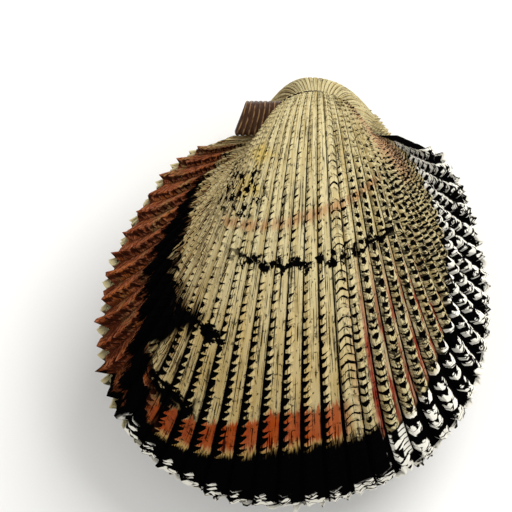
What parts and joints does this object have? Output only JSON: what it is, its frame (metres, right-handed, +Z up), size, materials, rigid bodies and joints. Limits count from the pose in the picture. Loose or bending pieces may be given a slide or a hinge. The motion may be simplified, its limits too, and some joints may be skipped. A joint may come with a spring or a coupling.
{
  "type": "cockle shell",
  "caption": "Closed cockle shell with scaly radial ribs, rounded umbones and a dark horny ligament, lying on its lower valve.",
  "frame": {"origin": "centre of the bounding box's base, on the surface that the lower valve lies on", "axes": "+Z up, +Y towards the hinge and the umbones, +X towards the shell's short end, away from the ligament"},
  "size_m": [0.0746, 0.0828, 0.0551],
  "materials": {
    "upper_shell": "matt chalky shell, cream with red-brown flank, rust band and dark rings",
    "lower_shell": "matt chalky shell, cream with red-brown flank, rust band and dark rings",
    "horn": "dark brown horny ligament with a dull gloss"
  },
  "bodies": {
    "root": {"upper_valve": "upper_shell", "lower_valve": "lower_shell", "ligament": "horn"}
  },
  "joints": []
}
